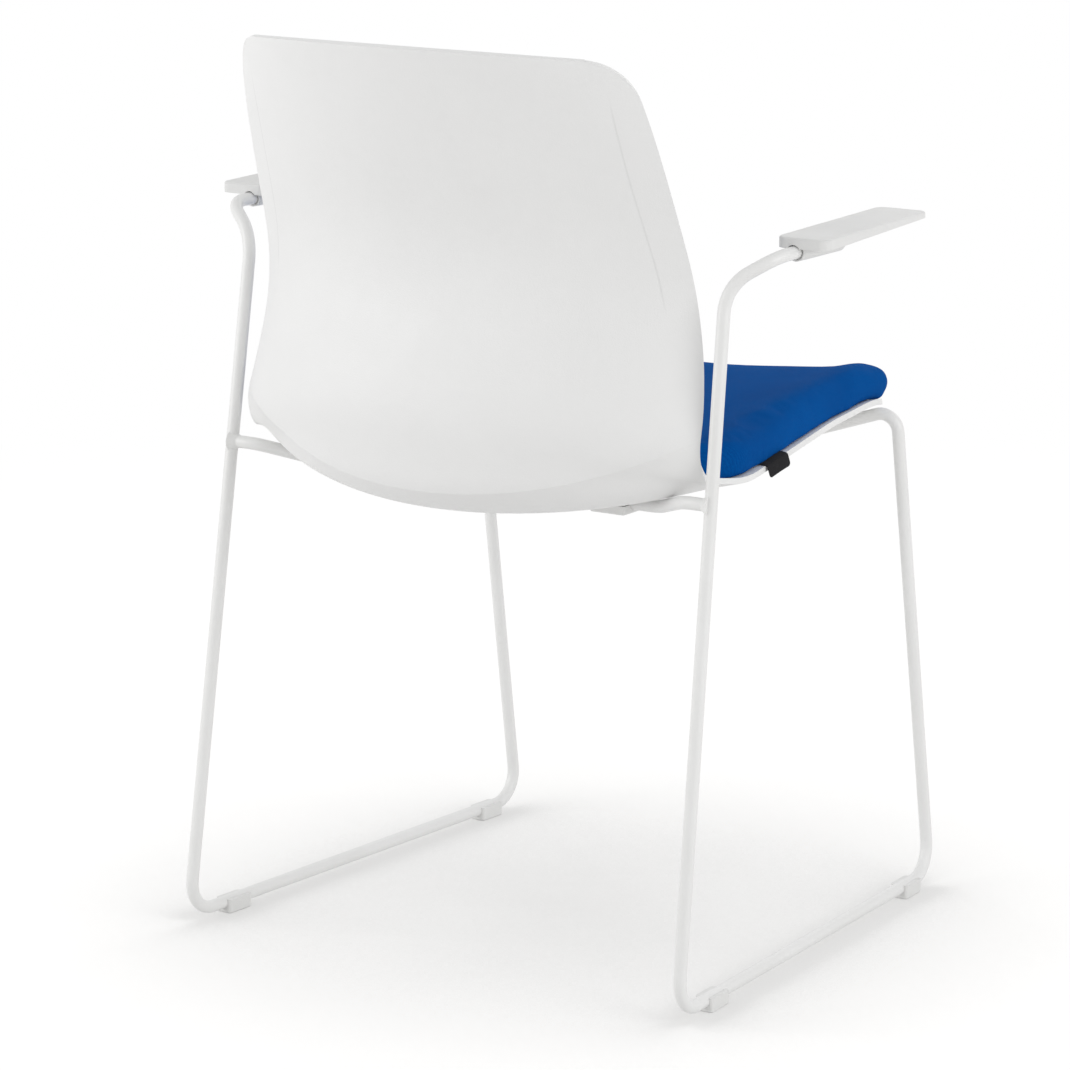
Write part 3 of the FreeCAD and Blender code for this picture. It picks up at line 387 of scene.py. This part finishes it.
WORLD_LIGHT = 0.66
FLOOR_HALF_SIDE = 30.0
FLOOR_TINTS = ((0.86, 0.855, 0.85), (0.88, 0.878, 0.875))
SEEN_TINT = (0.5, 0.497, 0.493)
SEEN_GLOW = (1.0, 0.998, 0.992)
# Painted shadow on the floor: the glow's strength runs between the two lift values as the ambient
# occlusion within the shadow reach crosses the open range.
FLOOR_LIFT_AND_PAINTED_SHADOW = (0.37, 0.62)
PAINTED_SHADOW_REACH = 0.7
PAINTED_SHADOW_SAMPLES = 16
OPEN_FROM = (0.74, 0.92)
WHITE_FROM = (1.1, 2.2)
LAMP_AIM = (0.0, 0.0, 0.5)


def seen_ray(tree):
    """1 for the rays that show the background: straight, mirrored or through glass."""
    path = tree.nodes.new("ShaderNodeLightPath")
    seen = math_node(tree, "MAXIMUM", path.outputs["Is Camera Ray"], path.outputs["Is Glossy Ray"])
    return math_node(tree, "MAXIMUM", seen, path.outputs["Is Transmission Ray"])


def mix_shader(tree, amount, first, second):
    node = tree.nodes.new("ShaderNodeMixShader")
    link(tree, amount, node.inputs[0])
    link(tree, first, node.inputs[1])
    link(tree, second, node.inputs[2])
    return node.outputs["Shader"]


def lit_floor(tree, place):
    """The pale floor that light bounces from."""
    lit = tree.nodes.new("ShaderNodeBsdfDiffuse")
    cloud = noise(tree, place, scale=1.5, detail=2.0)
    link(tree, colour_mix(tree, remap(tree, cloud, 0.0, 1.0), *FLOOR_TINTS), lit.inputs["Color"])
    return lit.outputs["BSDF"]


def seen_floor(tree, place):
    """The floor in the picture: a darker diffuse floor that keeps the real shadow, plus a glow with
    painted shadow in it, dimmed by ambient occlusion near the chair and lifted where it is open; white far
    away.
    """
    shaded = tree.nodes.new("ShaderNodeBsdfDiffuse")
    feed(tree, SEEN_TINT, shaded.inputs["Color"])
    painted_shadow_occlusion = tree.nodes.new("ShaderNodeAmbientOcclusion")
    painted_shadow_occlusion.samples = PAINTED_SHADOW_SAMPLES
    painted_shadow_occlusion.inputs["Distance"].default_value = PAINTED_SHADOW_REACH
    glow = tree.nodes.new("ShaderNodeEmission")
    feed(tree, SEEN_GLOW, glow.inputs["Color"])
    # Painted shadow: the glow's strength follows the ambient occlusion, so the floor seen by the camera is
    # dimmer under and around the chair.
    link(tree, remap(tree, painted_shadow_occlusion.outputs["AO"], *FLOOR_LIFT_AND_PAINTED_SHADOW, *OPEN_FROM), glow.inputs["Strength"])
    near = tree.nodes.new("ShaderNodeAddShader")
    link(tree, shaded.outputs["BSDF"], near.inputs[0])
    link(tree, glow.outputs["Emission"], near.inputs[1])
    white = tree.nodes.new("ShaderNodeEmission")
    distance = vector_node(tree, "LENGTH", place, "Value")[1]
    return mix_shader(tree, remap(tree, distance, 0.0, 1.0, *WHITE_FROM),
                      near.outputs["Shader"], white.outputs["Emission"])


def make_floor():
    mesh = bpy.data.meshes.new("floor")
    build = bmesh.new()
    bmesh.ops.create_grid(build, x_segments=1, y_segments=1, size=FLOOR_HALF_SIDE)
    build.to_mesh(mesh)
    build.free()
    floor = bpy.data.objects.new("floor", mesh)
    scene.collection.objects.link(floor)
    material, tree, output = shader_tree("floor_look")
    place = object_coordinates(tree)
    both = mix_shader(tree, seen_ray(tree), lit_floor(tree, place), seen_floor(tree, place))
    link(tree, both, output.inputs["Surface"])
    mesh.materials.append(material)


def make_world():
    world = bpy.data.worlds.new("studio")
    scene.world = world
    world.use_nodes = True
    tree = world.node_tree
    tree.nodes.clear()
    output = tree.nodes.new("ShaderNodeOutputWorld")
    background = tree.nodes.new("ShaderNodeBackground")
    link(tree, remap(tree, seen_ray(tree), WORLD_LIGHT, 1.0, 0.0, 1.0), background.inputs["Strength"])
    background.inputs["Color"].default_value = (1.0, 1.0, 1.0, 1.0)
    link(tree, background.outputs["Background"], output.inputs["Surface"])


def make_lamp(name, place, width, height, power):
    data = bpy.data.lights.new(name, "AREA")
    data.shape = "RECTANGLE"
    data.size = width
    data.size_y = height
    data.energy = power
    lamp = bpy.data.objects.new(name, data)
    lamp.location = place
    lamp.rotation_euler = (Vector(LAMP_AIM) - Vector(place)).to_track_quat("-Z", "Y").to_euler()
    scene.collection.objects.link(lamp)


make_floor()
make_world()
make_lamp("left_softbox", place=(3.0, 2.6, 1.5), width=2.6, height=2.2, power=53.0)
make_lamp("right_softbox", place=(-3.4, 0.4, 1.4), width=2.2, height=2.0, power=33.5)
make_lamp("front_softbox", place=(0.6, -3.4, 1.9), width=2.4, height=2.0, power=8.0)


# Cushion: an even mesh of the CAD form, filled as cloth and rounded along its edge

VOXEL = 0.0045
SETTLE_ROUNDS = 3
SMOOTH_ROUNDS = 2
CLOTH_FRAMES = 20
FILL_PRESSURE = 4.0
TOP_SWELL = 0.0035
SIDE_SWELL = 0.0012
UNDERSIDE_FACING = -0.3
CROWN_FACING = (-0.15, 0.4)
CLEARANCE = 0.0003
WALL_REACH = 0.003
SECTORS = 120
CENTRE_Y = -0.05
NOSE_ZONE = (-0.15, -0.21)
REAR_ZONE = (0.02, 0.07)
NOSE_BULGE = 0.0058
SIDE_BULGE = 0.0012
BULGE_HEIGHT = 0.019
BULGE_REACH = 0.0155
EDGE_BAND = 0.012
EDGE_DROP = 0.0015
SIDE_FLARE = 0.003


def new_piece(name, mesh):
    piece = bpy.data.objects.new(name, mesh)
    scene.collection.objects.link(piece)
    return piece


def apply_modifiers(piece):
    graph = bpy.context.evaluated_depsgraph_get()
    mesh = bpy.data.meshes.new_from_object(piece.evaluated_get(graph))
    piece.modifiers.clear()
    piece.data = mesh


def surface_of(piece):
    return BVHTree.FromObject(piece, bpy.context.evaluated_depsgraph_get())


def settle(mesh, surface):
    """Even the voxel steps out, and bring every point back onto the form."""
    build = bmesh.new()
    build.from_mesh(mesh)
    for _ in range(SETTLE_ROUNDS):
        for _ in range(SMOOTH_ROUNDS):
            bmesh.ops.smooth_vert(build, verts=build.verts, factor=0.5,
                                  use_axis_x=True, use_axis_y=True, use_axis_z=True)
        for vertex in build.verts:
            vertex.co = surface.find_nearest(vertex.co)[0]
    build.to_mesh(mesh)
    build.free()


def ramp(value, start, end):
    """0 at the start, 1 at the end and beyond it."""
    return max(0.0, min(1.0, (value - start) / (end - start)))


def around(place):
    """Sector of the outline, as a number with a fraction, and the distance from the middle."""
    angle = atan2(place.y - CENTRE_Y, place.x)
    return (angle / (2 * pi)) % 1.0 * SECTORS, hypot(place.x, place.y - CENTRE_Y)


def edge_table(points):
    """For each sector of the outline, how far out it goes and how low its edge is there."""
    reach = [0.0] * SECTORS
    for point in points:
        sector, distance = around(point)
        reach[int(sector)] = max(reach[int(sector)], distance)
    low = [1.0] * SECTORS
    for point in points:
        sector, distance = around(point)
        if distance > reach[int(sector)] - EDGE_BAND / 2:
            low[int(sector)] = min(low[int(sector)], point.z)
    return reach, low


def between(values, sector):
    """Value at a place between the middles of two sectors."""
    first = int(sector - 0.5) % SECTORS
    share = (sector - 0.5) % 1.0
    return values[first] * (1 - share) + values[(first + 1) % SECTORS] * share


def swell_limit(normal):
    """Most that the filling may move a point: the top crowns, the sides less, the underside not at all."""
    if normal.z < UNDERSIDE_FACING:
        return 0.0
    return SIDE_SWELL + (TOP_SWELL - SIDE_SWELL) * ramp(normal.z, *CROWN_FACING)


def edge_move(place, table):
    """The nose bulges at half its height and tucks under below, and the edge lies down on the shell."""
    sector, distance = around(place)
    reach, low = table
    hold = ramp(between(reach, sector) - distance, EDGE_BAND, 0.0)
    above = place.z - between(low, sector)
    frontness = ramp(place.y, *NOSE_ZONE)
    sideness = 1 - ramp(place.y, *REAR_ZONE)
    bulge = (SIDE_BULGE + (NOSE_BULGE - SIDE_BULGE) * frontness) * sideness
    shift = bulge * (1 - ((above - BULGE_HEIGHT) / BULGE_REACH) ** 2)
    if above > BULGE_HEIGHT:
        shift = max(0.0, shift)
    shift += SIDE_FLARE * max(0.0, 1.0 - above / EDGE_BAND) * (1 - frontness) * sideness
    outwards = Vector((place.x, place.y - CENTRE_Y, 0.0)).normalized()
    drop = EDGE_DROP * max(0.0, 1.0 - above / (EDGE_BAND / 2)) * sideness
    return (outwards * shift - Vector((0.0, 0.0, drop))) * hold * (2 - hold)


def inflate(cushion):
    """Run the cover as cloth under the filling's pressure, and keep its last frame."""
    cloth = cushion.modifiers.new("filling", "CLOTH")
    settings = cloth.settings
    settings.quality = 6
    settings.mass = 0.35
    settings.tension_stiffness = 30.0
    settings.compression_stiffness = 30.0
    settings.shear_stiffness = 20.0
    settings.bending_stiffness = 1.5
    settings.use_pressure = True
    settings.uniform_pressure_force = FILL_PRESSURE
    settings.effector_weights.gravity = 0.0
    cloth.point_cache.frame_start = 1
    cloth.point_cache.frame_end = CLOTH_FRAMES
    for step in range(1, CLOTH_FRAMES + 1):
        scene.frame_set(step)
    apply_modifiers(cushion)
    scene.frame_set(1)


def shape_cover(mesh, rest, facing):
    """Limit the swelling, round the edge, and keep every point clear of the shell's wall."""
    wall = surface_of(nodes["seat_back_shell"])
    table = edge_table(rest)
    for vertex, start, normal in zip(mesh.vertices, rest, facing):
        move = vertex.co - start
        limit = swell_limit(normal)
        if move.length > limit:
            move = move * (limit / move.length)
        place = start + move + edge_move(start, table)
        hit, hit_normal = wall.find_nearest(place, WALL_REACH)[:2]
        if hit is not None and (place - hit).dot(hit_normal) < CLEARANCE:
            place = hit + hit_normal * CLEARANCE
        vertex.co = place


def make_cushion():
    cushion = new_piece("cushion_cover", nodes["seat_cushion"].data.copy())
    remesh = cushion.modifiers.new("even_mesh", "REMESH")
    remesh.mode = "VOXEL"
    remesh.voxel_size = VOXEL
    apply_modifiers(cushion)
    settle(cushion.data, surface_of(nodes["seat_cushion"]))
    rest = [v.co.copy() for v in cushion.data.vertices]
    facing = [v.normal.copy() for v in cushion.data.vertices]
    inflate(cushion)
    shape_cover(cushion.data, rest, facing)
    smooth = cushion.modifiers.new("finer", "SUBSURF")
    smooth.levels = 1
    smooth.render_levels = 1
    cushion.data.shade_smooth()
    dress(cushion, "cushion_fabric")
    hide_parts("seat_cushion")
    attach(cushion, "root")


make_cushion()


# Label: a black tab sewn into the cushion's lower edge, hanging over the edge of the shell

LABEL_THICKNESS = 0.0009
LABEL_CORNER = 0.0035
LABEL_CURL = 0.0008
LABEL_COLUMNS = 32
LABEL_ROWS = 22
LABEL_CLOSE = 0.003
LABEL_BEND_ROUNDING = 0.45
LABEL_CURL_LEVEL = 0.4
LABEL_SOFT_SHARE = 0.4


def label_ends():
    """At both ends of the CAD label, the middle of its band: sewn edge, bend, lower edge."""
    corners = sorted((v.co.copy() for v in nodes["cushion_label"].data.vertices), key=lambda c: c.y)
    half = len(corners) // 2
    ends = []
    for group in (corners[:half], corners[half:]):
        sewn = max(group, key=lambda c: c.x)
        low = min(group, key=lambda c: c.z)
        sewn_edge = [c for c in group if c.x > sewn.x - LABEL_CLOSE]
        low_edge = [c for c in group if c.z < low.z + LABEL_CLOSE]
        bend = [c for c in group if c not in sewn_edge and c not in low_edge]
        ends.append([sum(part, Vector()) / len(part) for part in (sewn_edge, bend, low_edge)])
    return ends


def band_point(sewn, bend, low, share):
    """A point of the band's middle line, which rounds the bend."""
    if share < 0.5:
        start, end, t = sewn, bend, share * 2
    else:
        start, end, t = bend, low, share * 2 - 1
    straight = start.lerp(end, t)
    arc = sewn * (1 - share) ** 2 + bend * 2 * share * (1 - share) + low * share**2
    return straight.lerp(arc, LABEL_BEND_ROUNDING)


def label_mesh(first, last, width, drop):
    """One layer of tape from end to end, with rounded lower corners and slightly curled."""
    outward = (first[2] - first[1]).cross(last[2] - first[2]).normalized()
    if outward.x > 0:
        outward = -outward
    build = bmesh.new()
    rows = []
    for i in range(LABEL_ROWS + 1):
        share = i / LABEL_ROWS
        from_low = (1 - share) * 2 * drop
        narrower = 0.0
        if from_low < LABEL_CORNER:
            narrower = LABEL_CORNER - (LABEL_CORNER**2 - (LABEL_CORNER - from_low) ** 2) ** 0.5
        row = []
        for j in range(LABEL_COLUMNS + 1):
            across = (j / LABEL_COLUMNS - 0.5) * (1 - 2 * narrower / width)
            place = band_point(*first, share).lerp(band_point(*last, share), across + 0.5)
            curl = LABEL_CURL * share**3 * ((2 * across) ** 2 - LABEL_CURL_LEVEL)
            row.append(build.verts.new(place + outward * curl))
        rows.append(row)
    for upper, lower in zip(rows, rows[1:]):
        for j in range(LABEL_COLUMNS):
            build.faces.new((upper[j], upper[j + 1], lower[j + 1], lower[j]))
    bmesh.ops.recalc_face_normals(build, faces=build.faces)
    mesh = bpy.data.meshes.new("label_tab")
    build.to_mesh(mesh)
    build.free()
    mesh.shade_smooth()
    return mesh


def make_label():
    first, last = label_ends()
    width = (first[2] - last[2]).length
    drop = (first[2] - first[1]).length
    label = new_piece("label_tab", label_mesh(first, last, width, drop))
    fold = label.modifiers.new("two_layers", "SOLIDIFY")
    fold.thickness = LABEL_THICKNESS
    fold.offset = 0.0
    soften = label.modifiers.new("soft_edge", "BEVEL")
    soften.width = LABEL_THICKNESS * LABEL_SOFT_SHARE
    soften.segments = 2
    soften.limit_method = "ANGLE"
    dress(label, "label_fabric")
    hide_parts("cushion_label")
    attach(label, "root")


make_label()


# View settings

scene.view_settings.view_transform = "Standard"
